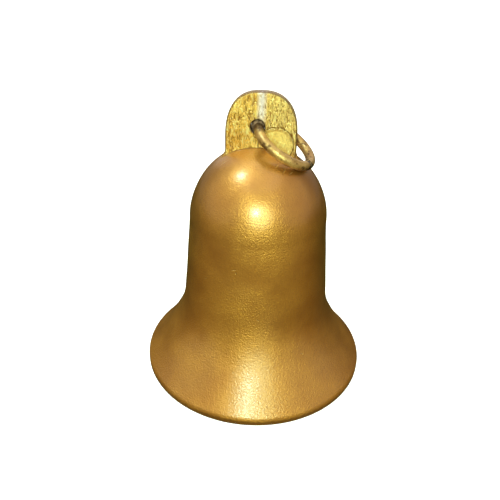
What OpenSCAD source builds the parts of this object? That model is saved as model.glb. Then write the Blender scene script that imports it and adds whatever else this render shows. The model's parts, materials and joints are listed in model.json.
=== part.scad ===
// Small cast hanging bell: a turned dome, waist and flared mouth, with a cast lug brazed on top.
// A loose wire ring hangs in the lug's hole. The lug's tang passes through the crown, where a
// washer and a pin hold it, and carries the clapper inside.
// The bell stands on its lip: Z is up, the lip's face is at Z = 0, and the lug's holes run along Y.

/* [Shell] */
// Outer diameter of the mouth
mouth_d = 110; // [96:1:132]
// Height of the shell, from the lip's face to the top of the crown
shell_h = 111; // [92:0.5:134]
// Outer diameter of the shoulder, where the dome meets the waist
shoulder_d = 63.5; // [58:0.5:77]
// Height of the dome above the shoulder
dome_h = 33.5; // [28:0.5:41]
// Outer diameter of the waist's foot, where the flare begins
waist_d = 69.5; // [62:0.5:80]
// Height of the waist's foot above the lip's face
flare_h = 42; // [34:0.5:50]
// Slope of the flare at the lip, in degrees below level
flare_angle = 48.5; // [42:0.5:58]
// Length over which the waist turns into the flare
waist_turn = 8; // [5:0.5:12]
// Length over which the flare straightens towards the lip
flare_run = 27; // [18:0.5:31]
// Height of the lip's upright edge
lip_h = 3.5; // [2:0.25:5]
// Width of the lip's flat face, with its rounded corners
lip_w = 4; // [3:0.5:6]
// Radius of the lip's corners
lip_r = 0.8; // [0.4:0.1:1.2]
// Wall at the waist
wall_t = 3; // [2:0.25:4]
// Wall at the crown
crown_t = 4.5; // [3.5:0.25:6]

/* [Lug] */
// Width of the lug where it meets the dome
lug_w = 31; // [25:0.5:37]
// Height of the lug above the crown
lug_h = 23.5; // [19:0.5:29]
// Height of the lug's rounded top
lug_round_h = 20; // [14:0.5:22]
// Squareness of the rounded top: 2 is an ellipse
lug_square = 2.5; // [2:0.1:3]
// Thickness of the lug at its middle
lug_t = 5; // [4:0.25:6]
// How much each face of the lug falls away towards its sides
lug_crowning = 0.7; // [0.3:0.1:1.2]
// Slack of the ring's wire in its hole, as a share of the lug's thickness
hole_slack = 0.38; // [0.34:0.02:0.6]
// Height of the ring's hole above the crown
hole_h = 9; // [8:0.25:11]
// Sideways offset of the ring's hole, which was drilled by eye
hole_x = -1.5; // [-2.5:0.25:2.5]
// Size of the brazed bead round the lug's foot
braze_r = 1.8; // [1:0.1:3]

/* [Tang] */
// Width of the tang that passes through the crown
tang_w = 12; // [10:0.5:15]
// Thickness of the tang
tang_t = 4; // [3.25:0.25:5]
// Gap round the tang in the crown's slot and in the washer
tang_gap = 0.1; // [0.05:0.05:0.3]
// Depth of the clapper's hole below the top of the crown
tang_hole_depth = 15; // [14:0.5:20]
// Diameter of the clapper's hole
tang_hole_d = 5; // [4.5:0.1:6]
// Outer diameter of the washer under the crown
washer_d = 18; // [16:0.5:24]
// Thickness of that washer
washer_t = 1.5; // [1:0.25:2.25]
// Gap round the washer in its spot-faced seat
seat_gap = 0.5; // [0.25:0.25:1]
// Diameter of the pin that holds the washer up
pin_d = 3; // [2:0.25:3]
// Length of that pin
pin_l = 15; // [12:0.5:18]

/* [Hanging ring] */
// Diameter of the ring's wire
ring_wire_d = 4.3; // [3.5:0.1:4.8]
// Diameter of the ring, to the middle of its wire
ring_d = 27; // [25:0.5:32]
// Width of the saw cut where the ring's ends meet
ring_cut = 0.4; // [0.2:0.1:0.8]
// Place of that cut round the ring, in degrees from its far end towards the front
ring_cut_angle = 24; // [0:1:80]
// How far the ring's slack hole lets its back stand higher than its front, in degrees
ring_lean = 7; // [0:1:8]

/* [Clapper] */
// Diameter of the link's wire
link_wire_d = 2.5; // [2:0.1:3]
// Diameter of the round link, to the middle of its wire
link_d = 18; // [17:0.5:22]
// Diameter of the wire that forms the rod's eye
eye_wire_d = 3.5; // [3:0.1:4]
// Diameter of the rod's eye, to the middle of its wire
eye_d = 8.5; // [8:0.25:11]
// Diameter of the clapper's rod
rod_d = 4; // [3.5:0.25:4.75]
// Diameter of the rod's tenon, which passes through the ball
tenon_d = 3; // [2.5:0.25:3.25]
// Gap between the tenon and the ball or the burr
tenon_gap = 0.05; // [0.02:0.01:0.1]
// Diameter of the clapper's ball
ball_d = 20; // [16:0.5:24]
// Height of the ball's middle above the lip's face
ball_h = 17; // [16:0.5:22]
// Diameter of the flat at each end of the ball
ball_flat_d = 8; // [6:0.5:9]
// Outer diameter of the riveting burr under the ball
burr_d = 7.5; // [6:0.5:9]
// Thickness of the burr
burr_t = 1.2; // [0.8:0.1:1.6]
// Height of the tenon's peened head
peen_h = 1.2; // [0.8:0.1:1.6]

/* [Hidden] */
$fn = 96;

// Gap that is left between the ring at rest and the dome
rest_gap = 0.15;
// Share of its slack by which a loose wire hangs off the middle of its hole
slack_taken = 0.5;
// Steps in each rounded stretch of an outline
dome_steps = 28;
flare_steps = 22;
corner_steps = 4;
round_steps = 48;
braze_steps = 3;
// Steps of the search for the ring's angle, and points tried round its wire
search_steps = 16;
search_points = 40;
// How far a cut runs past the faces that it opens
past = 1;

// Shell
dome_z = shell_h - dome_h;
crown_z = shell_h - crown_t;
waist_fall = [waist_d - shoulder_d, -2 * (dome_z - flare_h)];
waist_dir = waist_fall / norm(waist_fall);
flare_dir = [cos(flare_angle), -sin(flare_angle)];
outer_waist = [waist_d / 2, flare_h];
outer_lip = [mouth_d / 2, lip_h];
inner_waist = [waist_d / 2 - wall_t, flare_h];
inner_lip = [mouth_d / 2 - lip_w, lip_r];

// Lug and tang
hole_d = ring_wire_d + hole_slack * lug_t;
hole_z = shell_h + hole_h;
spring_z = shell_h + lug_h - lug_round_h;
tang_hole_z = shell_h - tang_hole_depth;
pin_z = crown_z - washer_t - pin_d / 2;
face_r = (pow(lug_w / 2, 2) + pow(lug_crowning, 2)) / (2 * lug_crowning);

// Ring: the distance from the hole's axis to the ring's middle
ring_reach = ring_d / 2 + slack_taken * (hole_d - ring_wire_d) / 2;

// Clapper, from the tang's hole down to the ball
link_z = tang_hole_z - slack_taken * (tang_hole_d - link_wire_d) / 2 - link_d / 2;
eye_z = link_z - link_d / 2 - slack_taken * (eye_d - eye_wire_d - link_wire_d) / 2;
ball_half = sqrt(pow(ball_d, 2) - pow(ball_flat_d, 2)) / 2;
ball_top = ball_h + ball_half;
ball_foot = ball_h - ball_half;

gold = [0.75, 0.56, 0.14];
worn_gold = [0.66, 0.46, 0.12];
steel = [0.62, 0.63, 0.64];
iron = [0.33, 0.32, 0.31];

// Points of a cubic curve that leaves p along from_dir and arrives at q along to_dir
function bend(p, from_dir, q, to_dir, steps) = [
    for (i = [0:steps])
        let (t = i / steps, a = p + waist_turn * from_dir, b = q - flare_run * to_dir)
            pow(1 - t, 3) * p + 3 * t * pow(1 - t, 2) * a + 3 * t * t * (1 - t) * b + t * t * t * q
];

// Quarter ellipse from the axis down to the shoulder
function dome(rx, ry) = [
    for (i = [0:dome_steps])
        let (a = 90 - 90 * i / dome_steps)
            [rx * cos(a), dome_z + ry * sin(a)]
];

// Arc of a lip corner
function corner(x, from_angle) = [
    for (i = [0:corner_steps])
        let (a = from_angle - 90 * i / corner_steps)
            [x + lip_r * cos(a), lip_r + lip_r * sin(a)]
];

function outer_line() = concat(
    dome(shoulder_d / 2, dome_h),
    bend(outer_waist, waist_dir, outer_lip, flare_dir, flare_steps)
);
function inner_line() = concat(
    dome(shoulder_d / 2 - wall_t, dome_h - crown_t),
    bend(inner_waist, waist_dir, inner_lip, flare_dir, flare_steps)
);
function reversed(list) = [for (i = [len(list) - 1:-1:0]) list[i]];

// Outline of the lug above the crown: a superellipse standing on upright sides
function lug_top() = [
    for (i = [0:round_steps])
        let (a = 180 * i / round_steps, e = 2 / lug_square)
            [
                lug_w / 2 * sign(cos(a)) * pow(abs(cos(a)), e),
                spring_z + lug_round_h * pow(sin(a), e)
            ]
];

// Distance from a point beside the dome, given as radius and height, to the dome's outline
function to_segment(p, a, b) =
    let (t = max(0, min(1, (p - a) * (b - a) / ((b - a) * (b - a)))))
        norm(p - a - t * (b - a));
function to_dome(p, line) = min([for (i = [1:dome_steps + 1]) to_segment(p, line[i - 1], line[i])]);

// Middle of the ring's wire at an angle round the ring, when the ring hangs at fall degrees
function on_ring(fall, around) =
    let (
        u = ring_reach + ring_d / 2 * cos(around),
        v = ring_d / 2 * sin(around) * cos(ring_lean),
        w = ring_d / 2 * sin(around) * sin(ring_lean)
    )
        [hole_x + u * cos(fall) + w * sin(fall), v, hole_z - u * sin(fall) + w * cos(fall)];
function ring_gap(fall) =
    let (line = outer_line())
        min([
            for (i = [0:search_points - 1])
                let (p = on_ring(fall, 180 * (i / search_points - 0.5)))
                    to_dome([norm([p[0], p[1]]), p[2]], line)
        ]) - ring_wire_d / 2;

// The ring comes to rest where its wire meets the dome, which is found by halving
function ring_fall(low = 0, high = 60, steps = search_steps) =
    steps == 0
        ? low
        : let (mid = (low + high) / 2)
            ring_gap(mid) > rest_gap
                ? ring_fall(mid, high, steps - 1)
                : ring_fall(low, mid, steps - 1);

module bell_solid() {
    rotate_extrude() polygon(concat(outer_line(), [[mouth_d / 2, 0], [0, 0]]));
}

// Plan of the tang, wider all round by gap
module tang_plan(gap) {
    square([tang_w + 2 * gap, tang_t + 2 * gap], center = true);
}

// Plan of the lug with crowned faces, wider all round by grow
module lug_plan(grow) {
    intersection() {
        translate([0, face_r - lug_t / 2 - grow]) circle(face_r, $fn = 720);
        translate([0, lug_t / 2 + grow - face_r]) circle(face_r, $fn = 720);
        square([lug_w + 2 * grow, lug_t + 2 * grow], center = true);
    }
}

module across(d, length) {
    rotate([90, 0, 0]) cylinder(d = d, h = length, center = true);
}

module wire_ring(d, wire_d, angle = 360) {
    rotate_extrude(angle = angle) translate([d / 2, 0]) circle(d = wire_d, $fn = 48);
}

// Cast shell: one turned wall, slotted at the crown and spot-faced inside for the washer
module bell_shell() {
    wall = concat(
        outer_line(),
        corner(mouth_d / 2 - lip_r, 0),
        corner(mouth_d / 2 - lip_w + lip_r, -90),
        reversed(inner_line())
    );
    color(gold) difference() {
        rotate_extrude() polygon(wall);
        translate([0, 0, crown_z - past]) linear_extrude(crown_t + 2 * past) tang_plan(tang_gap);
        translate([0, 0, crown_z - washer_d / 2])
            cylinder(d = washer_d + 2 * seat_gap, h = washer_d / 2);
    }
}

// Cast lug: its foot is saddled to the dome, and its tang goes down through the crown
module hanging_lug() {
    color(gold) difference() {
        union() {
            difference() {
                intersection() {
                    translate([0, lug_t, 0]) rotate([90, 0, 0]) linear_extrude(2 * lug_t)
                        polygon(concat(lug_top(), [[-lug_w / 2, dome_z], [lug_w / 2, dome_z]]));
                    linear_extrude(shell_h + lug_h + past) lug_plan(0);
                }
                bell_solid();
            }
            translate([0, 0, tang_hole_z]) linear_extrude(shell_h + past - tang_hole_z) tang_plan(0);
            translate([0, 0, tang_hole_z]) across(tang_w, tang_t);
        }
        translate([hole_x, 0, hole_z]) across(hole_d, lug_t + 2 * past);
        translate([0, 0, tang_hole_z]) across(tang_hole_d, tang_t + 2 * past);
        translate([0, 0, pin_z]) across(pin_d, tang_t + 2 * past);
    }
}

// Brazed bead in the corner between the lug and the dome, stepped down as it spreads
module lug_braze() {
    color(worn_gold) difference() {
        for (i = [1:braze_steps]) {
            spread = braze_r * i / braze_steps;
            rise = braze_r * (braze_steps + 1 - i) / braze_steps;
            intersection() {
                translate([0, 0, dome_z]) linear_extrude(dome_h + braze_r) lug_plan(spread);
                translate([0, 0, rise]) bell_solid();
            }
        }
        bell_solid();
        linear_extrude(shell_h + lug_h) lug_plan(0);
    }
}

module crown_washer() {
    color(steel) translate([0, 0, crown_z - washer_t]) difference() {
        cylinder(d = washer_d, h = washer_t);
        translate([0, 0, -past]) linear_extrude(washer_t + 2 * past) tang_plan(tang_gap);
    }
}

module tang_pin() {
    color(steel) translate([0, 0, pin_z]) across(pin_d, pin_l);
}

// Round wire ring with a saw cut, lying on the right of the dome
module hanging_ring() {
    cut = ring_cut / (PI * ring_d) * 360;
    color(worn_gold) translate([hole_x, 0, hole_z]) rotate([0, ring_fall(), 0])
        translate([ring_reach, 0, 0]) rotate([ring_lean, 0, 0])
            rotate([0, 0, cut / 2 - ring_cut_angle]) wire_ring(ring_d, ring_wire_d, 360 - cut);
}

module clapper_link() {
    color(steel) translate([0, 0, link_z]) rotate([0, 90, 0]) wire_ring(link_d, link_wire_d);
}

// Forged rod: an eye at the top, and a tenon that is peened over under the burr
module clapper_rod() {
    rod_top = eye_z - eye_d / 2;
    tenon_foot = ball_foot - burr_t;
    color(iron) {
        translate([0, 0, eye_z]) rotate([90, 0, 0]) wire_ring(eye_d, eye_wire_d);
        translate([0, 0, ball_top]) cylinder(d = rod_d, h = rod_top - ball_top);
        translate([0, 0, tenon_foot]) cylinder(d = tenon_d, h = ball_top + past - tenon_foot);
        translate([0, 0, tenon_foot - peen_h])
            cylinder(d1 = tenon_d, d2 = (tenon_d + burr_d) / 2, h = peen_h);
    }
}

module clapper_ball() {
    color(iron) translate([0, 0, ball_h]) difference() {
        intersection() {
            sphere(d = ball_d);
            cylinder(d = ball_d + past, h = 2 * ball_half, center = true);
        }
        cylinder(d = tenon_d + 2 * tenon_gap, h = ball_d, center = true);
    }
}

module clapper_burr() {
    color(steel) translate([0, 0, ball_foot - burr_t]) difference() {
        cylinder(d = burr_d, h = burr_t);
        translate([0, 0, -past]) cylinder(d = tenon_d + 2 * tenon_gap, h = burr_t + 2 * past);
    }
}

bell_shell();
hanging_lug();
lug_braze();
crown_washer();
tang_pin();
hanging_ring();
clapper_link();
clapper_rod();
clapper_ball();
clapper_burr();
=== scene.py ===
"""A small cast hanging bell, sprayed gold, on its lip, with its ring laid over one shoulder."""

import json

import bmesh
import bpy
import numpy as np
from mathutils import Matrix, Vector


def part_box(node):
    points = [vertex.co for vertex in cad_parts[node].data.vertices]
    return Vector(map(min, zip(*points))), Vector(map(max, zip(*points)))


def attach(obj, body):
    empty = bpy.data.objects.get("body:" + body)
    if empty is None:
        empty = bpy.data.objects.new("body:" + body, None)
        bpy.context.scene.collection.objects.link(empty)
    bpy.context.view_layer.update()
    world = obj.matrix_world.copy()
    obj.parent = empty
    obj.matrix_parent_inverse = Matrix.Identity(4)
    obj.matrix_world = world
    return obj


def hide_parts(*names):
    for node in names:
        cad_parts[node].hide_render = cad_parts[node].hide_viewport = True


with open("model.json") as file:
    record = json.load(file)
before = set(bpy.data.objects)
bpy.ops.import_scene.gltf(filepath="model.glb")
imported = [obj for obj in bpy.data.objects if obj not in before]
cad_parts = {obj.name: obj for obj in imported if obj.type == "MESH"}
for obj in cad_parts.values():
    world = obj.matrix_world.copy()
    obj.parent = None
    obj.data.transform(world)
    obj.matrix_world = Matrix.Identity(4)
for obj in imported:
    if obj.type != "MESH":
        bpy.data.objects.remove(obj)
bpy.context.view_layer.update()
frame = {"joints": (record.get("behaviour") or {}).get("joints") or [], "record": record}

# ---------------------------------------------------------------------------------------------
# Camera. A hand-held camera about a quarter of a metre from the bell, looking down on it by
# nearly a third of a right angle, and turned a little about its own axis.
# ---------------------------------------------------------------------------------------------
MM = 0.001
distance = 250 * MM
elevation = np.radians(31.3)
azimuth = np.radians(3.7)
lean = np.radians(2.18)
lens_in_frames = 1.015
aim = Vector((0, 0, 50 * MM))
aim_right_of_middle = 0.0137
aim_below_middle = 0.0324

back = Vector(
    (
        np.sin(azimuth) * np.cos(elevation),
        -np.cos(azimuth) * np.cos(elevation),
        np.sin(elevation),
    )
)
level = Matrix.Identity(3)
level.col[0] = Vector((np.cos(azimuth), np.sin(azimuth), 0))
level.col[1] = back.cross(level.col[0])
level.col[2] = back
to_aim = Vector((aim_right_of_middle, -aim_below_middle, -lens_in_frames)).normalized()
off_axis = to_aim.rotation_difference(Vector((0, 0, -1))).to_matrix()
roll = Matrix.Rotation(lean, 3, "Z")

camera_data = bpy.data.cameras.new("camera")
camera_data.sensor_width = 36
camera_data.lens = 36 * lens_in_frames
camera = bpy.data.objects.new("camera", camera_data)
camera.matrix_world = (
    Matrix.Translation(aim + distance * back) @ (level @ off_axis @ roll).to_4x4()
)
bpy.context.scene.collection.objects.link(camera)
bpy.context.scene.camera = camera

# ---------------------------------------------------------------------------------------------
# Floor and light. A matt white table top, which is clear when it is looked at from below. A
# small lamp stands behind the camera with a softbox by it, another hangs over the bell's left
# side, a window stands on each side and one behind, and a large pale ceiling fills in.
# ---------------------------------------------------------------------------------------------
scene = bpy.context.scene
scene.view_settings.view_transform = "Standard"


def linear(hex_colour):
    """The linear colour of an sRGB hex value. Each channel c becomes ((c + 0.055) / 1.055) ^ 2.4,
    or c / 12.92 where it is very dark."""
    channels = np.array([int(hex_colour[i : i + 2], 16) for i in (1, 3, 5)]) / 255
    curved = ((channels + 0.055) / 1.055) ** 2.4
    return (*np.where(channels <= 0.04045, channels / 12.92, curved), 1.0)


def add(tree, kind, settings, links=None):
    """Adds a node, sets its properties or inputs by name or number, and links its inputs."""
    node = tree.nodes.new("ShaderNode" + kind)
    for name, value in settings.items():
        if isinstance(name, str) and hasattr(node, name):
            setattr(node, name, value)
        else:
            node.inputs[name].default_value = value
    for name, source in (links or {}).items():
        tree.links.new(source, node.inputs[name])
    return node


def new_material(name):
    """An empty node material and its tree."""
    material = bpy.data.materials.new(name)
    material.use_nodes = True
    material.node_tree.nodes.clear()
    return material, material.node_tree


def lamp(name, toward_left, above, away, size, watts, hex_colour):
    """A round area lamp at angles from the camera's side of the bell, aimed at the bell's dome."""
    turn = azimuth - np.radians(toward_left)
    rise = np.radians(above)
    direction = Vector(
        (np.sin(turn) * np.cos(rise), -np.cos(turn) * np.cos(rise), np.sin(rise))
    )
    data = bpy.data.lights.new(name, "AREA")
    data.shape = "DISK"
    data.size = size * MM
    data.energy = watts
    data.color = linear(hex_colour)[:3]
    light = bpy.data.objects.new(name, data)
    dome_middle = Vector((0, 0, 85 * MM))
    light.matrix_world = (
        Matrix.Translation(dome_middle + direction * away * MM)
        @ direction.to_track_quat("Z", "Y").to_matrix().to_4x4()
    )
    scene.collection.objects.link(light)


lamp("lamp_behind_camera", 4.5, 25, 600, 95, 1.3, "#D6FFF0")
lamp("lamp_over_left", 84, 64, 700, 105, 1.7, "#D4FFF0")
lamp("front_softbox", -3, 20, 640, 440, 2.9, "#DEFFC4")
lamp("window_on_left", 70, 34, 900, 1500, 3.2, "#FFF4C8")
lamp("window_on_right", -68, 34, 900, 1500, 2.8, "#FFF0CC")
lamp("window_behind", 180, 38, 900, 1500, 3.4, "#FFF8EC")
lamp("ceiling", 10, 84, 1500, 1800, 9, "#F8FFE0")

world = bpy.data.worlds.new("room")
world.use_nodes = True
world.node_tree.nodes.clear()
lit = add(world.node_tree, "Background", {"Color": linear("#908A82"), "Strength": 0.7})
white = add(world.node_tree, "Background", {"Color": linear("#FFFFFF"), "Strength": 1.1})
path = add(world.node_tree, "LightPath", {})
room = add(
    world.node_tree,
    "MixShader",
    {},
    {0: path.outputs["Is Camera Ray"], 1: lit.outputs[0], 2: white.outputs[0]},
)
add(world.node_tree, "OutputWorld", {}, {"Surface": room.outputs[0]})
scene.world = world

# The table is a broad disc with an opening under the bell's mouth, which the lip covers from
# above, so that light reaches the clapper when the bell is looked at from below.
floor_mesh = bpy.data.meshes.new("floor")
floor_sides = 96
opening_r = 53 * MM
table_r = 1500 * MM
just_under = -0.05 * MM
floor_turn = np.linspace(0, 2 * np.pi, floor_sides, endpoint=False)
floor_rim = np.stack([np.cos(floor_turn), np.sin(floor_turn)], 1)
floor_rings = np.concatenate([opening_r * floor_rim, table_r * floor_rim])
floor_points = np.column_stack([floor_rings, np.full(2 * floor_sides, just_under)])
corner = np.arange(floor_sides)
next_corner = (corner + 1) % floor_sides
floor_quads = np.stack(
    [corner, corner + floor_sides, next_corner + floor_sides, next_corner], 1
)
floor_mesh.from_pydata(floor_points, [], floor_quads.tolist())
floor = bpy.data.objects.new("floor", floor_mesh)
scene.collection.objects.link(floor)

# Matt white paint looks plain and bright. What the bell's shine picks up from the table is painted
# browner, and painted darker behind the bell as painted shade, standing in for the rest of a room.
floor_paint, tree = new_material("matt_white_table")
shaded = add(tree, "BsdfDiffuse", {"Color": linear("#FBFBF9")})
glow = add(tree, "Emission", {"Color": linear("#FBFBF9"), "Strength": 0.85})
seen = add(tree, "AddShader", {}, {0: shaded.outputs[0], 1: glow.outputs[0]})
place = add(tree, "TexCoord", {}).outputs["Object"]
depth_of = add(tree, "SeparateXYZ", {}, {0: place}).outputs["Y"]
# Painted shade: in the bell's reflections the table turns dark olive behind the bell.
behind = add(
    tree, "MapRange", {"From Min": -150 * MM, "From Max": 70 * MM}, {"Value": depth_of}
)
table = add(tree, "ValToRGB", {}, {"Fac": behind.outputs[0]})
stops = table.color_ramp.elements
stops[0].position = 0.0
stops[0].color = linear("#8C7A54")
stops[1].position = 1.0
stops[1].color = linear("#22260F")
stops.new(0.6).color = linear("#604024")
reflected_with_painted_shade = add(tree, "BsdfDiffuse", {}, {"Color": table.outputs[0]})
path = add(tree, "LightPath", {})
both = add(
    tree,
    "MixShader",
    {},
    {0: path.outputs["Is Camera Ray"], 1: reflected_with_painted_shade.outputs[0], 2: seen.outputs[0]},
)
from_below = add(tree, "NewGeometry", {}).outputs["Backfacing"]
clear = add(tree, "BsdfTransparent", {})
one_sided = add(
    tree, "MixShader", {}, {0: from_below, 1: both.outputs[0], 2: clear.outputs[0]}
)
add(tree, "OutputMaterial", {}, {"Surface": one_sided.outputs[0]})
floor_mesh.materials.append(floor_paint)

# ---------------------------------------------------------------------------------------------
# Bell shell. Brass, sand cast and turned smooth outside, then sprayed with gold paint that
# carries bronze powder. The inside is left as it came from the sand, with a little overspray.
# ---------------------------------------------------------------------------------------------
_, shell_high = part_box("bell_shell")
mouth_r = shell_high.x / MM
crown_top = shell_high.z / MM
shoulder_r = 31.75
dome_h = 33.5
waist_r = 34.75
flare_h = 42
flare_angle = np.radians(48.5)
waist_turn = 8
flare_run = 27
wall = 3
crown_wall = 4.5
lip_h = 3.5
lip_w = 4
corner_r = 0.8
edge_r = 1.1
spot_face_r = 9.5
dome_z = crown_top - dome_h
flare_down = np.array([np.cos(flare_angle), -np.sin(flare_angle)])
waist_down = np.array([waist_r - shoulder_r, flare_h - dome_z])
waist_down = waist_down / np.linalg.norm(waist_down)


def arc(centre, radii, start, end, steps):
    """Points centre + radii * (cos a, sin a), as the angle a goes from start to end in degrees."""
    a = np.radians(np.linspace(start, end, steps))
    return np.stack([centre[0] + radii[0] * np.cos(a), centre[1] + radii[1] * np.sin(a)], 1)


def bend(start, leave, end, arrive, steps):
    """Cubic curve from start to end, whose handles are the vectors leave and arrive."""
    t = np.linspace(0, 1, steps)[:, None]
    a = start + leave
    b = end - arrive
    return (
        (1 - t) ** 3 * start
        + 3 * t * (1 - t) ** 2 * a
        + 3 * t**2 * (1 - t) * b
        + t**3 * end
    )


def surface(name, grids, closed_along=False, closed_round=True):
    """One smooth mesh of one or more closed surfaces. Each grid[i, j] holds points in mm, and
    quads join neighbours along i and round j, where either may run back to its start."""
    points = []
    quads = []
    first = 0
    for grid in grids:
        rows, columns = grid.shape[:2]
        index = np.arange(rows * columns).reshape(rows, columns) + first
        if closed_along:
            index = np.vstack([index, index[:1]])
        if closed_round:
            index = np.hstack([index, index[:, :1]])
        quad = np.stack(
            [index[:-1, :-1], index[1:, :-1], index[1:, 1:], index[:-1, 1:]], -1
        ).reshape(-1, 4)
        flat = grid.reshape(-1, 3)
        corner = flat[quad - first]
        normal = np.cross(corner[:, 2] - corner[:, 0], corner[:, 3] - corner[:, 1])
        if (normal * corner.mean(1)).sum() < 0:
            quad = quad[:, ::-1]
        points.append(flat)
        quads.append(quad)
        first += len(flat)
    mesh = bpy.data.meshes.new(name)
    mesh.from_pydata(np.concatenate(points) * MM, [], np.concatenate(quads).tolist())
    welded = bmesh.new()
    welded.from_mesh(mesh)
    bmesh.ops.remove_doubles(welded, verts=welded.verts, dist=1e-7)
    welded.to_mesh(mesh)
    welded.free()
    mesh.shade_smooth()
    piece = bpy.data.objects.new(name, mesh)
    scene.collection.objects.link(piece)
    return piece


def turned(profile, steps):
    """Grid of a profile of (radius, height) points carried round the Z axis."""
    a = np.linspace(0, 2 * np.pi, steps, endpoint=False)
    r = profile[:, :1]
    z = np.broadcast_to(profile[:, 1:], (len(profile), steps))
    return np.stack([r * np.cos(a), r * np.sin(a), z], -1)


def even(line, steps):
    """The same line of points, spaced evenly along its length."""
    length = np.r_[0, np.cumsum(np.linalg.norm(np.diff(line, axis=0), axis=1))]
    at = np.linspace(0, length[-1], steps)
    return np.stack([np.interp(at, length, line[:, k]) for k in range(line.shape[1])], 1)


outer_flare = bend(
    np.array([waist_r, flare_h]),
    waist_turn * waist_down,
    np.array([mouth_r, lip_h]),
    flare_run * flare_down,
    200,
)
outer_wall = np.concatenate(
    [arc((0, dome_z), (shoulder_r, dome_h), 90, 0, 200), outer_flare[:-1]]
)
over_edge = outer_wall[np.linalg.norm(outer_wall - [mouth_r, lip_h], axis=1) > edge_r]
rounded = bend(
    over_edge[-1],
    0.55 * edge_r * flare_down,
    np.array([mouth_r, lip_h - edge_r]),
    0.55 * edge_r * np.array([0, -1.0]),
    9,
)
lip = np.concatenate(
    [
        rounded,
        arc((mouth_r - corner_r, corner_r), (corner_r, corner_r), 0, -90, 7),
        arc((mouth_r - lip_w + corner_r, corner_r), (corner_r, corner_r), -90, -180, 7),
    ]
)
inner_flare = bend(
    np.array([waist_r - wall, flare_h]),
    waist_turn * waist_down,
    np.array([mouth_r - lip_w, corner_r]),
    flare_run * flare_down,
    200,
)
inner_dome = arc((0, dome_z), (shoulder_r - wall, dome_h - crown_wall), 90, 0, 200)
inner_dome = inner_dome[inner_dome[:, 0] > spot_face_r]
inner_wall = np.concatenate([inner_dome, inner_flare])[::-1]
spot_face = np.array(
    [
        [spot_face_r, crown_top - crown_wall - 0.3],
        [spot_face_r - 0.3, crown_top - crown_wall],
        [0, crown_top - crown_wall],
    ]
)

# The moulder's and the turner's hands leave the wall true only to about a tenth of a millimetre,
# so it comes in by up to 0.3 mm or so in slow waves round and down it, which fade at the lip.
outer_rows = even(over_edge, 150)
shell_steps = 360
profile = np.concatenate([outer_rows, lip[1:], even(inner_wall, 70)[1:], spot_face])
shell_grid = turned(profile, shell_steps)
around = np.linspace(0, 2 * np.pi, shell_steps, endpoint=False)
height = profile[:, 1:]
waver = (
    np.sin(3 * around + 0.11 * height)
    + np.sin(5 * around - 0.17 * height + 1.3)
    + np.sin(2 * around + 0.31 * height + 4.0)
)
fade = np.clip((height - lip_h) / 12, 0, 1) * (profile[:, :1] / shoulder_r)
shell_grid[..., :2] *= 1 - (0.04 * (waver + 3) * fade / np.maximum(profile[:, :1], 1))[..., None]
bell_shell = surface("shell_casting", [shell_grid])
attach(bell_shell, "bell")
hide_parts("bell_shell")


def gold_paint(name, dull, bright, drift_mm, grain_mm, grain_depth_mm, roughness, patchy=1.0):
    """Air-dried gold paint: bronze powder in clear resin. The powder gives a broad yellow glow
    round each lamp, and the resin over it a small white glint. The colour drifts where the powder
    settled thinner and the film let the brown primer through. The grain of the casting shows in
    some stretches and is drowned in others. Returns the material, its tree, place and shader."""
    material, tree = new_material(name)
    place = add(tree, "TexCoord", {}).outputs["Object"]
    drift = add(
        tree,
        "TexNoise",
        {"Scale": 1000 / drift_mm, "Detail": 4.0, "Roughness": 0.55},
        {"Vector": place},
    )
    powder = add(tree, "ValToRGB", {}, {"Fac": drift.outputs[0]})
    stops = powder.color_ramp.elements
    stops[0].position = 0.34
    stops[0].color = linear(dull)
    stops[1].position = 0.66
    stops[1].color = linear(bright)
    thin = add(
        tree,
        "TexNoise",
        {"Scale": 1000 / (1.7 * drift_mm), "Detail": 2.0, "Distortion": 0.6},
        {"Vector": place},
    )
    thinned = add(
        tree,
        "MapRange",
        {"From Min": 0.46, "From Max": 0.75, "To Max": 0.45 * patchy},
        {"Value": thin.outputs[0]},
    )
    body = add(
        tree,
        "Mix",
        {"data_type": "RGBA", 7: linear("#AC7844")},
        {0: thinned.outputs[0], 6: powder.outputs[0]},
    )
    grain = add(
        tree,
        "TexNoise",
        {"Scale": 1000 / grain_mm, "Detail": 1.5, "Roughness": 0.5},
        {"Vector": place},
    )
    hollow = add(
        tree,
        "MapRange",
        {"From Min": 0.42, "From Max": 0.3, "To Max": 0.28},
        {"Value": grain.outputs[0]},
    )
    stained = add(
        tree,
        "Mix",
        {"data_type": "RGBA", 7: linear("#8A601F")},
        {0: hollow.outputs[0], 6: body.outputs[2]},
    )
    bare = add(
        tree,
        "MapRange",
        {"From Min": 0.4, "From Max": 0.6, "To Min": 0.15, "To Max": 1.0},
        {"Value": drift.outputs[0]},
    )
    grain_left = add(
        tree,
        "Math",
        {"operation": "MULTIPLY"},
        {0: grain.outputs[0], 1: bare.outputs[0]},
    )
    peel = add(tree, "TexNoise", {"Scale": 1000 / 4.5, "Detail": 1.0}, {"Vector": place})
    peeled = add(
        tree,
        "Bump",
        {"Strength": 1.0, "Distance": 0.03 * MM},
        {"Height": peel.outputs[0]},
    )
    grained = add(
        tree,
        "Bump",
        {"Strength": 1.0, "Distance": grain_depth_mm * MM},
        {"Height": grain_left.outputs[0], "Normal": peeled.outputs[0]},
    )
    rough = add(
        tree,
        "MapRange",
        {"To Min": roughness - 0.06, "To Max": roughness + 0.1},
        {"Value": drift.outputs[0]},
    )
    shader = add(
        tree,
        "BsdfPrincipled",
        {"Metallic": 0.8, "Coat Weight": 1.0, "Coat Roughness": 0.24, "Coat IOR": 1.5},
        {
            "Base Color": stained.outputs[2],
            "Roughness": rough.outputs[0],
            "Normal": grained.outputs[0],
            "Coat Normal": grained.outputs[0],
        },
    )
    add(tree, "OutputMaterial", {}, {"Surface": shader.outputs[0]})
    return material, tree, place, shader


def source(shader, name):
    """The socket that feeds one of a shader's inputs."""
    return shader.inputs[name].links[0].from_socket


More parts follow.
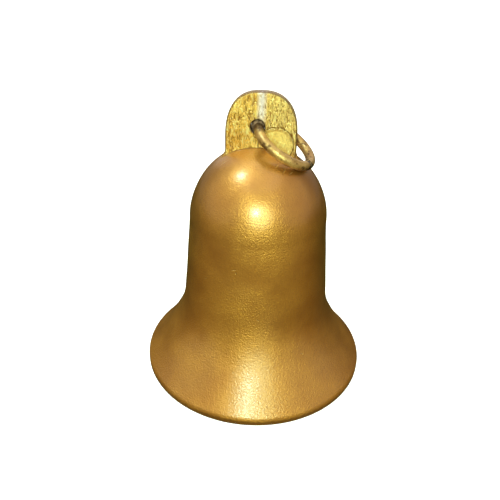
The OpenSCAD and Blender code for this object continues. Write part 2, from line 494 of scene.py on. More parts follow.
def stain(tree, shader, amount, hex_colour):
    """Lays one more colour over a shader's own, as thickly as amount says."""
    laid = add(
        tree,
        "Mix",
        {"data_type": "RGBA", 7: linear(hex_colour)},
        {0: amount, 6: source(shader, "Base Color")},
    )
    tree.links.new(laid.outputs[2], shader.inputs["Base Color"])


def press(tree, shader, height, depth_mm):
    """Adds one more relief to a shader's own. A negative depth turns it into hollows."""
    pressed = add(
        tree,
        "Bump",
        {"Strength": 1.0, "Distance": abs(depth_mm) * MM, "invert": depth_mm < 0},
        {"Height": height, "Normal": source(shader, "Normal")},
    )
    tree.links.new(pressed.outputs[0], shader.inputs["Normal"])
    tree.links.new(pressed.outputs[0], shader.inputs["Coat Normal"])


shell_paint, tree, place, shader = gold_paint(
    "gold_bronze_powder_paint", "#AE722C", "#CA8E3C", 24, 0.65, 0.24, 0.41
)

# The spray was drier by the time it reached the flare, and its gloss is broader there.
height_of = add(tree, "SeparateXYZ", {}, {0: place}).outputs["Z"]
drier = add(
    tree,
    "MapRange",
    {"From Min": 48 * MM, "From Max": 15 * MM, "To Max": 0.11},
    {"Value": height_of},
)
broader = add(
    tree, "Math", {"operation": "ADD"}, {0: source(shader, "Roughness"), 1: drier.outputs[0]}
)
tree.links.new(broader.outputs[0], shader.inputs["Roughness"])

# The sand's grain stands out most on the flare, where less was turned away.
sand_grain = add(
    tree, "TexNoise", {"Scale": 1000 / 0.8, "Detail": 2.0, "Roughness": 0.6}, {"Vector": place}
)
less_turned = add(
    tree,
    "MapRange",
    {"From Min": 75 * MM, "From Max": 25 * MM, "To Min": 0.15},
    {"Value": height_of},
)
grain_left = add(
    tree, "Math", {"operation": "MULTIPLY"}, {0: sand_grain.outputs[0], 1: less_turned.outputs[0]}
)
press(tree, shader, grain_left.outputs[0], 0.3)

# Faint rings left by the turning tool, closer than a millimetre apart, show in places.
tool = add(
    tree,
    "Mapping",
    {"Scale": (30, 30, 1000 / 0.9)},
    {"Vector": place},
)
tool_rings = add(tree, "TexNoise", {"Scale": 1.0, "Detail": 2.0}, {"Vector": tool.outputs[0]})
press(tree, shader, tool_rings.outputs[0], 0.025)

# Nicks and short scratches: height, turn to the right of the front, lean, length and width.
nicks = (
    (66.5, -13, 70, 3.4, 0.5),
    (65.2, -11.5, 10, 1.5, 0.6),
    (43, 6.5, -40, 2.4, 0.6),
    (105.5, -60.5, 15, 4.0, 0.5),
    (105.4, 39.5, 65, 4.2, 0.6),
    (104.2, 47, 80, 3.4, 0.6),
    (106.9, 31, 75, 3.0, 0.5),
    (58, -38, 50, 2.6, 0.4),
    (24, 38, -70, 2.0, 0.5),
    (19, -8, 20, 1.3, 0.9),
    (31, 128, 60, 3.8, 0.5),
    (72, 171, -35, 4.6, 0.5),
    (50, 232, 80, 3.0, 0.6),
    (90, 262, 25, 2.4, 0.5),
)
near_nick = None
for nick_h, turn, tilt, length, width in nicks:
    outer_r = float(np.interp(-nick_h, -outer_rows[:, 1], outer_rows[:, 0]))
    turn = np.radians(turn)
    spot = add(
        tree,
        "Mapping",
        {
            "vector_type": "TEXTURE",
            "Location": (outer_r * np.sin(turn) * MM, -outer_r * np.cos(turn) * MM, nick_h * MM),
            "Rotation": (0, np.radians(tilt), turn),
            "Scale": (width / 2 * MM, 3 * MM, length / 2 * MM),
        },
        {"Vector": place},
    )
    reach = add(tree, "VectorMath", {"operation": "LENGTH"}, {0: spot.outputs[0]})
    near_nick = (
        add(
            tree,
            "Math",
            {"operation": "MINIMUM"},
            {0: near_nick, 1: reach.outputs["Value"]},
        ).outputs[0]
        if near_nick
        else reach.outputs["Value"]
    )
nicked = add(
    tree,
    "MapRange",
    {"From Min": 1.0, "From Max": 0.1, "To Max": 1.0},
    {"Value": near_nick},
)
press(tree, shader, nicked.outputs[0], -0.22)
stain_of_nick = add(tree, "Math", {"operation": "MULTIPLY", 1: 0.35}, {0: nicked.outputs[0]})
stain(tree, shader, stain_of_nick.outputs[0], "#F2D68A")

# The lip has been set down on tables for years: brown on its band, chipped along its upper edge.
chip = add(
    tree, "TexNoise", {"Scale": 1000 / 2.2, "Detail": 3.0, "Roughness": 0.6}, {"Vector": place}
)
band_edge = add(
    tree,
    "MapRange",
    {"From Min": 0.3, "From Max": 0.7, "To Min": 2.1 * MM, "To Max": 3.3 * MM},
    {"Value": chip.outputs[0]},
)
below_edge = add(
    tree, "Math", {"operation": "SUBTRACT"}, {0: band_edge.outputs[0], 1: height_of}
)
on_band = add(
    tree,
    "MapRange",
    {"From Max": 0.5 * MM, "To Max": 0.62},
    {"Value": below_edge.outputs[0]},
)
stain(tree, shader, on_band.outputs[0], "#7A5018")

# The clear resin fills the fine grain on the dome, so the small white glints stay whole there.
resin = add(
    tree, "Bump", {"Strength": 1.0, "Distance": 0.1 * MM}, {"Height": grain_left.outputs[0]}
)
tree.links.new(resin.outputs[0], shader.inputs["Coat Normal"])
bell_shell.data.materials.append(shell_paint)

# Inside, the raw brass has the sand's print and brown oxide, with gold spray drifted in at the lip.
raw_brass, tree = new_material("sand_cast_brass_with_overspray")
place = add(tree, "TexCoord", {}).outputs["Object"]
height_of = add(tree, "SeparateXYZ", {}, {0: place}).outputs["Z"]
oxide = add(
    tree, "TexNoise", {"Scale": 1000 / 14, "Detail": 6.0, "Roughness": 0.6}, {"Vector": place}
)
brass = add(tree, "ValToRGB", {}, {"Fac": oxide.outputs[0]})
stops = brass.color_ramp.elements
stops[0].position = 0.35
stops[0].color = linear("#4B3819")
stops[1].position = 0.65
stops[1].color = linear("#94743A")
sand = add(
    tree, "TexNoise", {"Scale": 1000 / 0.8, "Detail": 3.0, "Roughness": 0.7}, {"Vector": place}
)
sprayed_to = add(
    tree,
    "MapRange",
    {"From Min": 0.3, "From Max": 0.7, "To Min": 4 * MM, "To Max": 13 * MM},
    {"Value": oxide.outputs[0]},
)
under_spray = add(
    tree, "Math", {"operation": "SUBTRACT"}, {0: sprayed_to.outputs[0], 1: height_of}
)
sprayed = add(
    tree,
    "MapRange",
    {"From Min": -4 * MM, "From Max": 3 * MM, "To Max": 0.9},
    {"Value": under_spray.outputs[0]},
)
inside_colour = add(
    tree,
    "Mix",
    {"data_type": "RGBA", 7: linear("#B5842F")},
    {0: sprayed.outputs[0], 6: brass.outputs[0]},
)
inside_relief = add(
    tree, "Bump", {"Strength": 1.0, "Distance": 0.12 * MM}, {"Height": sand.outputs[0]}
)
inside_rough = add(
    tree, "MapRange", {"To Min": 0.5, "To Max": 0.75}, {"Value": oxide.outputs[0]}
)
inside_finish = add(
    tree,
    "BsdfPrincipled",
    {"Metallic": 0.85},
    {
        "Base Color": inside_colour.outputs[2],
        "Roughness": inside_rough.outputs[0],
        "Normal": inside_relief.outputs[0],
    },
)
add(tree, "OutputMaterial", {}, {"Surface": inside_finish.outputs[0]})
bell_shell.data.materials.append(raw_brass)

# The faces that look inwards, or down on the lip, are the raw brass's.
face_count = len(bell_shell.data.polygons)
face_normal = np.empty(3 * face_count)
face_middle = np.empty(3 * face_count)
bell_shell.data.polygons.foreach_get("normal", face_normal)
bell_shell.data.polygons.foreach_get("center", face_middle)
outward = face_middle.reshape(-1, 3)
outward[:, 2] = np.maximum(outward[:, 2] - dome_z * MM, 0)
outward = outward / np.linalg.norm(outward, axis=1, keepdims=True)
facing = (face_normal.reshape(-1, 3) * outward).sum(1)
bell_shell.data.polygons.foreach_set("material_index", (facing < 0.1).astype(int))

# ---------------------------------------------------------------------------------------------
# Hanging lug. One brass casting with its tang, filed only roughly along its length, so its
# faces keep fine upright furrows under the paint. The ring's hole was drilled by eye.
# ---------------------------------------------------------------------------------------------
_, lug_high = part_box("hanging_lug")
swing = {joint["name"]: Vector(joint["pos_m"]) / MM for joint in frame["joints"]}
ring_hole = swing["ring_swing"]
clapper_hole = swing["link_swing"]
lug_half = lug_high.x / MM
lug_top = lug_high.z / MM
lug_round_h = 20
lug_square = 2.5
lug_t = 5
lug_crowning = 0.7
lug_sink = 2
ring_hole_r = 3.1
tang_half = 6
tang_t = 4
clapper_hole_r = 2.5


def drilled_plate(hole_x, hole_z, hole_r, inside, half_thickness, edge_r, rim_r, steps):
    """Closed grid round a hole. In each direction a from the hole the plate reaches as far as
    inside(x, z) holds, which is found by halving. Round the section go the hole's wall, one face out to
    the edge, the rounded edge, and the other face back. half_thickness(x) crowns the faces."""
    a = np.linspace(0, 2 * np.pi, steps, endpoint=False)
    near = np.zeros(steps)
    far = np.full(steps, 60.0)
    for _ in range(40):
        middle = (near + far) / 2
        held = inside(hole_x + middle * np.cos(a), hole_z + middle * np.sin(a))
        near = np.where(held, middle, near)
        far = np.where(held, far, middle)
    q = np.radians(np.linspace(0, 90, 7))[:, None]
    flat = np.linspace(0, 1, 40)[1:, None]
    inner = hole_r + rim_r
    outer = near - edge_r
    distance = np.concatenate(
        [
            inner - rim_r * np.cos(q) + 0 * near,
            inner + (outer - inner) * flat,
            outer + edge_r * np.sin(q[1:]),
        ]
    )
    drop = np.concatenate([rim_r * (1 - np.sin(q)), 0 * flat, edge_r * (1 - np.cos(q[1:]))])
    distance = np.concatenate([distance, distance[::-1]])
    x = hole_x + distance * np.cos(a)
    z = hole_z + distance * np.sin(a)
    depth = half_thickness(x) - np.concatenate([drop, drop[::-1]])
    side = np.repeat([-1.0, 1.0], len(drop))[:, None]
    return np.stack([x, side * depth, z], -1)


def in_lug(x, z):
    """Inside the lug: a superellipse |x/a|^n + (h/b)^n = 1 on upright sides, down into the dome."""
    up = np.maximum(z - (lug_top - lug_round_h), 0) / lug_round_h
    within = (np.abs(x) / lug_half) ** lug_square + up**lug_square <= 1
    over = (x / (shoulder_r - lug_sink)) ** 2 + ((z - dome_z) / (dome_h - lug_sink)) ** 2
    return within & (over >= 1)


def in_tang(x, z):
    """Inside the tang: a bar up into the crown, with a round foot about the clapper's hole."""
    foot = np.hypot(x, z - clapper_hole.z) <= tang_half
    return (np.abs(x) <= tang_half) & (z <= crown_top - 1) & (foot | (z >= clapper_hole.z))


def lug_half_thickness(x):
    """Half the lug's thickness: a shallow roof, whose ridge runs up the middle of each face."""
    return lug_t / 2 - lug_crowning * (np.sqrt((x / lug_half) ** 2 + 0.01) - 0.1)


lug_grid = drilled_plate(
    ring_hole.x, ring_hole.z, ring_hole_r, in_lug, lug_half_thickness, 0.9, 0.35, 480
)
tang_grid = drilled_plate(
    0, clapper_hole.z, clapper_hole_r, in_tang, lambda x: tang_t / 2 + 0 * x, 0.4, 0.3, 240
)
hanging_lug = surface("lug_casting", [lug_grid, tang_grid], closed_along=True)
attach(hanging_lug, "bell")
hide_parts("hanging_lug")

# The file's furrows hold brown dirt. Where the ring rubs, to the lower right of its hole, they are
# gone, and a scratch bounds the patch. A painted highlight runs up the ridge in the middle of each
# face.
lug_paint, tree, place, shader = gold_paint(
    "gold_paint_over_filed_brass", "#EFAC42", "#FFD06A", 7, 0.8, 0.15, 0.5, 0.25
)
furrowed_place = add(
    tree,
    "Mapping",
    {"Scale": (1000 / 0.9, 1000 / 0.9, 1000 / 2.6), "Rotation": (0, np.radians(8), 0)},
    {"Vector": place},
)
furrow = add(
    tree,
    "TexNoise",
    {"Scale": 1.0, "Detail": 3.0, "Roughness": 0.6, "Distortion": 1.2},
    {"Vector": furrowed_place.outputs[0]},
)
rub_middle = Vector((6.5, 0, 112.5)) * MM
rub_r = 7.6
on_face = add(tree, "VectorMath", {"operation": "MULTIPLY", 1: (1, 0, 1)}, {0: place})
from_rub = add(
    tree,
    "VectorMath",
    {"operation": "DISTANCE", 1: rub_middle},
    {0: on_face.outputs[0]},
)
outside_rub = add(
    tree,
    "MapRange",
    {"From Min": (rub_r - 1.6) * MM, "From Max": rub_r * MM, "To Min": 0.25},
    {"Value": from_rub.outputs["Value"]},
)
furrow_height = add(
    tree, "Math", {"operation": "MULTIPLY"}, {0: furrow.outputs[0], 1: outside_rub.outputs[0]}
)
press(tree, shader, furrow_height.outputs[0], 0.7)
parts_of_place = add(tree, "SeparateXYZ", {}, {0: place})
# Painted sheen: the lug is laid paler pale yellow towards its right half.
right_half_painted_sheen = add(
    tree,
    "MapRange",
    {"From Min": -5 * MM, "From Max": 9 * MM, "To Max": 0.4},
    {"Value": parts_of_place.outputs["X"]},
)
stain(tree, shader, right_half_painted_sheen.outputs[0], "#F6E2A0")
dirt = add(
    tree,
    "MapRange",
    {"From Min": 0.48, "From Max": 0.39, "To Max": 0.9},
    {"Value": furrow.outputs[0]},
)
dirt_left = add(
    tree, "Math", {"operation": "MULTIPLY"}, {0: dirt.outputs[0], 1: outside_rub.outputs[0]}
)
stain(tree, shader, dirt_left.outputs[0], "#96601C")
crest = add(
    tree,
    "MapRange",
    {"From Min": 0.54, "From Max": 0.66, "To Max": 0.75},
    {"Value": furrow.outputs[0]},
)
stain(tree, shader, crest.outputs[0], "#FFEFA6")
off_arc = add(
    tree, "Math", {"operation": "SUBTRACT", 1: rub_r * MM}, {0: from_rub.outputs["Value"]}
)
from_arc = add(tree, "Math", {"operation": "ABSOLUTE"}, {0: off_arc.outputs[0]})
arc_scratch = add(
    tree,
    "MapRange",
    {"From Min": 0.42 * MM, "From Max": 0.12 * MM, "To Max": 0.75},
    {"Value": from_arc.outputs[0]},
)
broken = add(tree, "TexNoise", {"Scale": 1000 / 3.0, "Detail": 2.0}, {"Vector": place})
arc_left = add(
    tree, "MapRange", {"From Min": 0.4, "From Max": 0.52}, {"Value": broken.outputs[0]}
)
arc_drawn = add(
    tree, "Math", {"operation": "MULTIPLY"}, {0: arc_scratch.outputs[0], 1: arc_left.outputs[0]}
)
stain(tree, shader, arc_drawn.outputs[0], "#80571C")
press(tree, shader, arc_drawn.outputs[0], -0.15)
# Painted highlight: a near-white strip up the ridge of each face above the hole, broken by the furrows.
aside = add(tree, "Math", {"operation": "ABSOLUTE"}, {0: parts_of_place.outputs["X"]})
ridge = add(
    tree,
    "MapRange",
    {"From Min": 2.4 * MM, "From Max": 0.5 * MM, "To Max": 0.95},
    {"Value": aside.outputs[0]},
)
above_hole = add(
    tree,
    "MapRange",
    {"From Min": ring_hole.z * MM, "From Max": (ring_hole.z + 5) * MM},
    {"Value": parts_of_place.outputs["Z"]},
)
ridge_highlight_mask = add(
    tree, "Math", {"operation": "MULTIPLY"}, {0: ridge.outputs[0], 1: above_hole.outputs[0]}
)
ridge_highlight_broken = add(
    tree,
    "MapRange",
    {"From Min": 0.38, "From Max": 0.52, "To Min": 0.35},
    {"Value": furrow.outputs[0]},
)
painted_ridge_highlight = add(
    tree, "Math", {"operation": "MULTIPLY"}, {0: ridge_highlight_mask.outputs[0], 1: ridge_highlight_broken.outputs[0]}
)
stain(tree, shader, painted_ridge_highlight.outputs[0], "#FFF0FA")
# Painted shade: the rounded edges, which face sideways, are laid dark brown.
facing_way = add(tree, "SeparateXYZ", {}, {0: add(tree, "TexCoord", {}).outputs["Normal"]})
square_on = add(tree, "Math", {"operation": "ABSOLUTE"}, {0: facing_way.outputs["Y"]})
edge_painted_shade = add(
    tree,
    "MapRange",
    {"From Min": 0.985, "From Max": 0.85, "To Max": 0.8},
    {"Value": square_on.outputs[0]},
)
stain(tree, shader, edge_painted_shade.outputs[0], "#6E4618")
# Painted shade: the hole's wall and a thin rim round it are laid dark brown.
from_hole = add(
    tree,
    "VectorMath",
    {"operation": "DISTANCE", 1: Vector((ring_hole.x, 0, ring_hole.z)) * MM},
    {0: on_face.outputs[0]},
)
hole_painted_shade = add(
    tree,
    "MapRange",
    {"From Min": (ring_hole_r + 0.8) * MM, "From Max": (ring_hole_r - 0.1) * MM, "To Max": 0.9},
    {"Value": from_hole.outputs["Value"]},
)
stain(tree, shader, hole_painted_shade.outputs[0], "#6B4630")
hanging_lug.data.materials.append(lug_paint)

# ---------------------------------------------------------------------------------------------
# Braze. Filler run into the corner between the lug and the dome: thin along the faces, fatter
# at the two ends, never quite even, and painted over with the rest.
# ---------------------------------------------------------------------------------------------
braze_face = 0.45
braze_end = 2.0
braze_sink = 0.8
u = np.linspace(0, 2 * np.pi, 480, endpoint=False)
across = np.sign(np.cos(u)) * np.abs(np.cos(u)) ** 0.3
outward = np.sign(np.sin(u)) * np.abs(np.sin(u)) ** 0.3
ends = np.abs(across) ** 16
uneven = 1 + 0.22 * np.sin(9 * u + 1) + 0.16 * np.sin(23 * u) + 0.1 * np.sin(41 * u + 2)
spread = (braze_face + (braze_end - braze_face) * ends) * uneven
q = np.radians(np.linspace(0, 90, 10))[:, None]
buried = np.full((1, len(u)), -braze_sink)
out = np.concatenate([spread * (1 - np.cos(q)), spread[None], buried])
lift = np.concatenate([1.2 * spread * (1 - np.sin(q)), buried, buried])
x = (lug_half + out) * across
y = (lug_half_thickness(lug_half * across) + out) * outward
z = dome_z + dome_h * np.sqrt(1 - (x**2 + y**2) / shoulder_r**2) + lift
lug_braze = surface("braze_bead", [np.stack([x, y, z], -1)], closed_along=True)
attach(lug_braze, "bell")
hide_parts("lug_braze")

# Over braze the paint is browner and duller, with hardly any clear resin left to shine.
braze_paint, tree, place, shader = gold_paint(
    "gold_paint_over_braze", "#8A5E26", "#A8783A", 5, 0.9, 0.25, 0.62
)
shader.inputs["Coat Weight"].default_value = 0.2
lug_braze.data.materials.append(braze_paint)

# ---------------------------------------------------------------------------------------------
# Hanging ring. Steel wire bent round a bar and cut, its ends butted by hand, sprayed with the
# bell. The paint has rubbed off to brown steel in the lug's hole and at the cut.
# ---------------------------------------------------------------------------------------------
mounts = {mount["name"]: mount for mount in frame["record"]["mounts"]}
ring_middle = Vector(mounts["ring_eye"]["pos_m"]) / MM
ring_axis = Vector(mounts["ring_eye"]["axis"])
ring_r = 13.5
wire_r = 2.15
cut_width = 0.4
cut_angle = np.radians(-24)
end_round = 0.5


def wire(middle, axis, outward, ring_r, wire_r, start, end, steps, sides, end_round=0):
    """Grid of a round wire bent round axis, from angle start to angle end off outward. Both ends
    draw in over end_round and close at a point; with no end_round, the wire joins itself."""
    axis = np.array(axis) / np.linalg.norm(axis)
    outward = np.array(outward) - np.dot(outward, axis) * axis
    outward = outward / np.linalg.norm(outward)
    aside = np.cross(axis, outward)
    a = np.linspace(start, end, steps, endpoint=end_round > 0)
    thick = wire_r * np.ones(steps)
    if end_round:
        q = np.radians(np.linspace(0, 90, 6))
        trim = end_round / ring_r * (1 - np.cos(q))
        drawn = wire_r - end_round * (1 - np.sin(q))
        a = np.concatenate([[start], start + trim, a[1:-1], end - trim[::-1], [end]])
        thick = np.concatenate([[0], drawn, thick[1:-1], drawn[::-1], [0]])
    b = np.linspace(0, 2 * np.pi, sides, endpoint=False)
    radial = np.cos(a)[:, None] * outward + np.sin(a)[:, None] * aside
    centre = np.array(middle) + ring_r * radial
    return (
        centre[:, None]
        + thick[:, None, None]
        * (np.cos(b)[None, :, None] * radial[:, None] + np.sin(b)[None, :, None] * axis)
    )


half_cut = cut_width / 2 / ring_r
ring_grid = wire(
    ring_middle,
    ring_axis,
    ring_middle - ring_hole,
    ring_r,
    wire_r,
    cut_angle + half_cut,
    cut_angle - half_cut + 2 * np.pi,
    300,
    48,
    end_round,
)
hanging_ring = surface("wire_ring", [ring_grid])
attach(hanging_ring, "ring")
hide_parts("hanging_ring")

# Handled paint over wire: duller than the bell's, flecked with bare brown steel, dark with rust
# where it turns in the lug, and pitted black on both sides of the cut.
ring_paint, tree, place, shader = gold_paint(
    "worn_gold_paint_over_steel_wire", "#A87E48", "#DCB678", 5, 0.8, 0.2, 0.42
)
shader.inputs["Coat Weight"].default_value = 0.4
worn = add(
    tree, "TexNoise", {"Scale": 1000 / 4, "Detail": 5.0, "Roughness": 0.65}, {"Vector": place}
)
flaked = add(
    tree,
    "MapRange",
    {"From Min": 0.54, "From Max": 0.61, "To Max": 0.8},
    {"Value": worn.outputs[0]},
)
stain(tree, shader, flaked.outputs[0], "#5A3B1E")
ring_front = ring_middle + (ring_hole - ring_middle).normalized() * ring_r
from_lug = add(
    tree, "VectorMath", {"operation": "DISTANCE", 1: ring_front * MM}, {0: place}
)
ragged = add(
    tree,
    "MapRange",
    {"From Min": 0.3, "From Max": 0.7, "To Min": 2.4 * MM, "To Max": -2.4 * MM},
    {"Value": worn.outputs[0]},
)
from_lug_ragged = add(
    tree, "Math", {"operation": "ADD"}, {0: from_lug.outputs["Value"], 1: ragged.outputs[0]}
)
rusted = add(
    tree,
    "MapRange",
    {"From Min": 10 * MM, "From Max": 5.5 * MM, "To Max": 0.85},
    {"Value": from_lug_ragged.outputs[0]},
)
stain(tree, shader, rusted.outputs[0], "#4E3428")
ring_out = (ring_middle - ring_hole).normalized()
ring_aside = ring_axis.normalized().cross(ring_out)
cut_middle = ring_middle + float(ring_r * np.cos(cut_angle)) * ring_out
cut_middle = cut_middle + float(ring_r * np.sin(cut_angle)) * ring_aside
from_cut = add(
    tree, "VectorMath", {"operation": "DISTANCE", 1: cut_middle * MM}, {0: place}
)
from_cut_ragged = add(
    tree, "Math", {"operation": "ADD"}, {0: from_cut.outputs["Value"], 1: ragged.outputs[0]}
)
pitted = add(
    tree,
    "MapRange",
    {"From Min": 3.0 * MM, "From Max": 2.2 * MM, "To Max": 0.9},
    {"Value": from_cut_ragged.outputs[0]},
)
stain(tree, shader, pitted.outputs[0], "#2C1B10")
press(tree, shader, pitted.outputs[0], -0.2)
hanging_ring.data.materials.append(ring_paint)

# ---------------------------------------------------------------------------------------------
# Crust in the ring's hole. Rust, old paint and dirt have built up round the wire where it turns
# in the hole, in a ragged dark plug that the hole has worn round, and that turns with the ring.
# ---------------------------------------------------------------------------------------------
crust_r = 2.98
crust_half = 2.0
turning = np.linspace(0, 2 * np.pi, 72, endpoint=False)
along = np.radians(np.linspace(-90, 90, 25))[:, None]
lump_depth = 0.03
lumps = np.sin(5 * turning + 3 * along) + np.sin(9 * turning - 4 * along + 2)
crust_reach = (crust_r - 0.1) * np.cos(along) ** 0.25 * (1 + lump_depth * lumps)
crust_along = crust_half * np.sin(along) * (1 + 0.05 * np.sin(3 * turning + 1))
crust_grid = np.stack(
    [
        ring_hole.x + crust_reach * np.cos(turning),
        crust_along,
        ring_hole.z + crust_reach * np.sin(turning),
    ],
    -1,
)
hole_crust = surface("hole_crust", [crust_grid])
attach(hole_crust, "ring")


def plain_metal(name, dull, bright, drift_mm, grain_mm, grain_depth_mm, roughness, metallic=1.0):
    """Unpainted metal: its colour drifts from dull to bright, and fine grain breaks its shine.
    Returns the material, its tree, place and shader."""
    material, tree = new_material(name)
    place = add(tree, "TexCoord", {}).outputs["Object"]
    drift = add(
        tree,
        "TexNoise",
        {"Scale": 1000 / drift_mm, "Detail": 5.0, "Roughness": 0.6},
        {"Vector": place},
    )
    colour = add(tree, "ValToRGB", {}, {"Fac": drift.outputs[0]})
    stops = colour.color_ramp.elements
    stops[0].position = 0.35
    stops[0].color = linear(dull)
    stops[1].position = 0.65
    stops[1].color = linear(bright)
    grain = add(
        tree,
        "TexNoise",
        {"Scale": 1000 / grain_mm, "Detail": 3.0, "Roughness": 0.65},
        {"Vector": place},
    )
    relief = add(
        tree,
        "Bump",
        {"Strength": 1.0, "Distance": grain_depth_mm * MM},
        {"Height": grain.outputs[0]},
    )
    rough = add(
        tree,
        "MapRange",
        {"To Min": roughness + 0.12, "To Max": roughness - 0.12},
        {"Value": drift.outputs[0]},
    )
    shader = add(
        tree,
        "BsdfPrincipled",
        {"Metallic": metallic},
        {
            "Base Color": colour.outputs[0],
            "Roughness": rough.outputs[0],
            "Normal": relief.outputs[0],
        },
    )
    add(tree, "OutputMaterial", {}, {"Surface": shader.outputs[0]})
    return material, tree, place, shader


# Rust and old paint are dull and crumbly, dark in their hollows and paler on their crests.
crust_finish = plain_metal(
    "rust_and_old_paint", "#3E2A20", "#9C7862", 1.8, 0.5, 0.3, 0.8, 0.1
)[0]
hole_crust.data.materials.append(crust_finish)

# ---------------------------------------------------------------------------------------------
# Crown washer. Punched from sheet steel with a slot for the tang, and zinc plated. It bears up
# against the spot face inside the crown.
# ---------------------------------------------------------------------------------------------
washer_low, washer_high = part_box("crown_washer")
washer_r = washer_high.x / MM
washer_half = (washer_high.z - washer_low.z) / 2 / MM
washer_middle = (washer_high.z + washer_low.z) / 2 / MM
slot_gap = 0.1
washer_steps = 240
a = np.linspace(0, 2 * np.pi, washer_steps, endpoint=False)
slot_reach = np.minimum(
    (tang_half + slot_gap) / np.maximum(np.abs(np.cos(a)), 1e-6),
    (tang_t / 2 + slot_gap) / np.maximum(np.abs(np.sin(a)), 1e-6),
)
washer_grid = drilled_plate(
    0,
    0,
    slot_reach,
    lambda x, z: np.hypot(x, z) <= washer_r,
    lambda x: washer_half + 0 * x,
    0.35,
    0.15,
    washer_steps,
)
washer_grid = washer_grid[..., [0, 2, 1]] + np.array([0, 0, washer_middle])
crown_washer = surface("zinc_washer", [washer_grid], closed_along=True)
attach(crown_washer, "bell")
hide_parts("crown_washer")


def rusty(tree, shader, place, cloud_mm, start, full, most, hex_colour):
    """Rust that has come through a metal in spots, where clouds cloud_mm across pass start. It
    is thickest, at most, where they reach full."""
    cloud = add(
        tree,
        "TexNoise",
        {"Scale": 1000 / cloud_mm, "Detail": 6.0, "Roughness": 0.7},
        {"Vector": place},
    )
    spots = add(
        tree,
        "MapRange",
        {"From Min": start, "From Max": full, "To Max": most},
        {"Value": cloud.outputs[0]},
    )
    stain(tree, shader, spots.outputs[0], hex_colour)


# Bright zinc plating: blue-grey and fairly glossy, clouded in patches a few millimetres across.
zinc, tree, place, shader = plain_metal(
    "zinc_plated_steel", "#7E8286", "#B4B8BB", 3, 0.5, 0.03, 0.38
)
rusty(tree, shader, place, 5, 0.6, 0.68, 0.8, "#6E4326")
crown_washer.data.materials.append(zinc)

# ---------------------------------------------------------------------------------------------
# Tang pin. A length of drawn steel rod driven through the tang under the washer, its ends
# filed round.
# ---------------------------------------------------------------------------------------------
pin_low, pin_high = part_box("tang_pin")
pin_r = pin_high.x / MM
pin_half = pin_high.y / MM
pin_z = (pin_high.z + pin_low.z) / 2 / MM
filed_r = 0.9
pin_end = arc((pin_r - filed_r, pin_half - filed_r), (filed_r, filed_r), 90, 0, 9)
pin_line = np.concatenate([[[0, pin_half]], pin_end, pin_end[::-1] * [1, -1], [[0, -pin_half]]])
pin_grid = turned(even(pin_line, 120), 48)[..., [0, 2, 1]] + np.array([0, 0, pin_z])
tang_pin = surface("drawn_pin", [pin_grid])
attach(tang_pin, "bell")
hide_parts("tang_pin")

# Drawn mild steel: grey with a soft shine, and brown where damp has sat on it.
drawn_steel, tree, place, shader = plain_metal(
    "drawn_mild_steel", "#6F6A63", "#A19D96", 4, 0.4, 0.03, 0.36
)
rusty(tree, shader, place, 4, 0.54, 0.66, 0.75, "#6A452B")
tang_pin.data.materials.append(drawn_steel)

# ---------------------------------------------------------------------------------------------
# Clapper link. Steel wire bent into a round link through the tang, with its butted ends welded,
# which leaves a small swelling at one side.
# ---------------------------------------------------------------------------------------------
link_low, link_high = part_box("clapper_link")
link_wire_r = link_high.x / MM
link_r = link_high.y / MM - link_wire_r
link_z = (link_high.z + link_low.z) / 2 / MM
link_steps = 220
link_turn = np.linspace(0, 2 * np.pi, link_steps, endpoint=False)
weld = 0.13 * np.exp(-(((link_turn - np.pi / 2) / 0.1) ** 2))
weld = weld * (1 + 0.2 * np.sin(31 * link_turn))
link_grid = wire(
    (0, 0, link_z),
    (1, 0, 0),
    (0, 0, -1),
    link_r - 0.15,
    link_wire_r * (0.985 + weld),
    0,
    2 * np.pi,
    link_steps,
    36,
)
clapper_link = surface("welded_link", [link_grid], closed_along=True)
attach(clapper_link, "link")
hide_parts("clapper_link")
clapper_link.data.materials.append(drawn_steel)

# ---------------------------------------------------------------------------------------------
# Clapper rod. Forged iron: one end is bent round into an eye and closed on the rod, and the
# other goes through the ball and is peened over under the burr.
# ---------------------------------------------------------------------------------------------
rod_low, rod_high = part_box("clapper_rod")
ball_low, ball_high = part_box("clapper_ball")
burr_low, burr_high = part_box("clapper_burr")
eye_wire_r = rod_high.y / MM
eye_r = rod_high.x / MM - eye_wire_r
eye_z = rod_high.z / MM - eye_r - eye_wire_r
rod_r = 2
tenon_r = 1.5
rod_foot = ball_high.z / MM - 1
rod_head = eye_z - eye_r - 0.3
burr_under = burr_low.z / MM
peen_low = rod_low.z / MM
eye_grid = wire(
    (0, 0, eye_z), (0, 1, 0), (0, 0, -1), eye_r, eye_wire_r, 0, 2 * np.pi, 160, 40
)
shank_up = np.linspace(0, 1, 110)[:, None]
shank_z = rod_foot + (rod_head - rod_foot) * shank_up
shank_turn = np.linspace(0, 2 * np.pi, 64, endpoint=False)
hammered = np.sin(3 * shank_turn + 0.35 * shank_z) * np.sin(0.8 * shank_z + shank_turn + 1)
swell = 0.45 * np.exp(-((rod_head - shank_z) / 1.6))
closed_ends = np.clip(400 * (1 - np.abs(2 * shank_up - 1)), 0, 1)
shank_r = (rod_r - 0.1 + 0.08 * hammered + swell) * closed_ends
shank_grid = np.stack(
    [shank_r * np.cos(shank_turn), shank_r * np.sin(shank_turn), shank_z + 0 * shank_turn], -1
)
peen_r = (tenon_r + burr_high.x / MM) / 2
peen_line = np.concatenate(
    [
        [[0, burr_under + 0.4], [tenon_r, burr_under + 0.4], [tenon_r, burr_under]],
        arc((0, burr_under), (peen_r, burr_under - peen_low), 0, -90, 16),
    ]
)
peen_grid = turned(peen_line, 48)
clapper_rod = surface("forged_eye_rod", [shank_grid, peen_grid])
eye_piece = surface("forged_eye", [eye_grid], closed_along=True)
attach(clapper_rod, "clapper")
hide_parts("clapper_rod")
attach(eye_piece, "clapper")

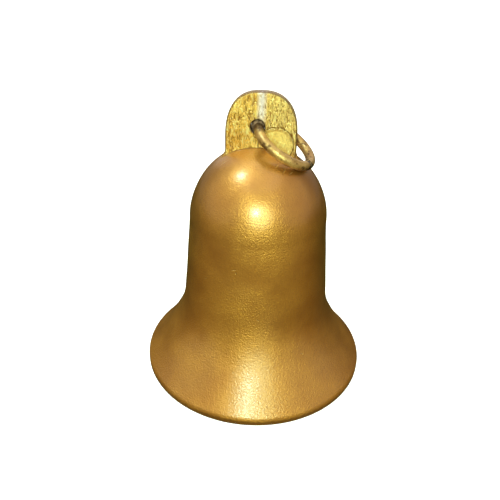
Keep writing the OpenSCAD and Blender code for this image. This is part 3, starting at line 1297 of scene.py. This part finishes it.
# Forge scale: blue-black and half dull, flaked off in patches down to browner iron.
forged_iron, tree, place, shader = plain_metal(
    "forge_scaled_iron", "#2B2A2B", "#4C4744", 3, 0.7, 0.1, 0.55, 0.75
)
rusty(tree, shader, place, 3, 0.55, 0.65, 0.7, "#6B3F22")
clapper_rod.data.materials.append(forged_iron)
eye_piece.data.materials.append(forged_iron)

# ---------------------------------------------------------------------------------------------
# Clapper ball. Cast iron, flat at its two ends, with the mould's parting line left round its
# middle. It is rubbed bright on the two sides that strike the bell.
# ---------------------------------------------------------------------------------------------
ball_r = ball_high.x / MM
ball_half = (ball_high.z - ball_low.z) / 2 / MM
ball_z = (ball_high.z + ball_low.z) / 2 / MM
seam_height = 0.12
flat_angle = np.degrees(np.arcsin(ball_half / ball_r))
seam_half = 0.35
round_r = ball_r - seam_height
side_line = arc((0, 0), (round_r, round_r), flat_angle, -flat_angle, 160)
side_line[:, 0] += seam_height * np.exp(-((side_line[:, 1] / seam_half) ** 2))
flat_top = side_line[0, 1]
flat_ring_r = 2.8
flat_line = np.array([[0, flat_top], [flat_ring_r, flat_top]])
ball_line = np.concatenate([flat_line, side_line, flat_line[::-1] * [1, -1]])
ball_grid = turned(ball_line, 160) + np.array([0, 0, ball_z])
clapper_ball = surface("cast_ball", [ball_grid])
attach(clapper_ball, "clapper")
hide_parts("clapper_ball")

# Grey cast iron: dark and pitted by the sand, polished to pale grey where it strikes.
cast_iron, tree, place, shader = plain_metal(
    "sand_cast_iron", "#2F2C2A", "#4F4943", 5, 0.8, 0.16, 0.6, 0.8
)
parts_of_place = add(tree, "SeparateXYZ", {}, {0: place})
to_side = add(tree, "Math", {"operation": "ABSOLUTE"}, {0: parts_of_place.outputs["X"]})
ragged = add(tree, "TexNoise", {"Scale": 1000 / 2.5, "Detail": 4.0}, {"Vector": place})
strike_from = add(
    tree,
    "MapRange",
    {"From Min": 0.3, "From Max": 0.7, "To Min": 7.2 * MM, "To Max": 9.8 * MM},
    {"Value": ragged.outputs[0]},
)
past_edge = add(
    tree, "Math", {"operation": "SUBTRACT"}, {0: to_side.outputs[0], 1: strike_from.outputs[0]}
)
struck = add(
    tree, "MapRange", {"From Max": 0.8 * MM, "To Max": 0.9}, {"Value": past_edge.outputs[0]}
)
stain(tree, shader, struck.outputs[0], "#8F8A80")
clapper_ball.data.materials.append(cast_iron)

# ---------------------------------------------------------------------------------------------
# Clapper burr. A small steel riveting washer under the ball, which the tenon's head grips.
# ---------------------------------------------------------------------------------------------
burr_r = burr_high.x / MM
burr_half = (burr_high.z - burr_low.z) / 2 / MM
burr_middle = (burr_high.z + burr_low.z) / 2 / MM
burr_grid = drilled_plate(
    0,
    0,
    tenon_r + 0.05,
    lambda x, z: np.hypot(x, z) <= burr_r,
    lambda x: burr_half + 0 * x,
    0.3,
    0.1,
    96,
)
burr_grid = burr_grid[..., [0, 2, 1]] + np.array([0, 0, burr_middle])
clapper_burr = surface("riveting_burr", [burr_grid], closed_along=True)
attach(clapper_burr, "clapper")
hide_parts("clapper_burr")
clapper_burr.data.materials.append(zinc)
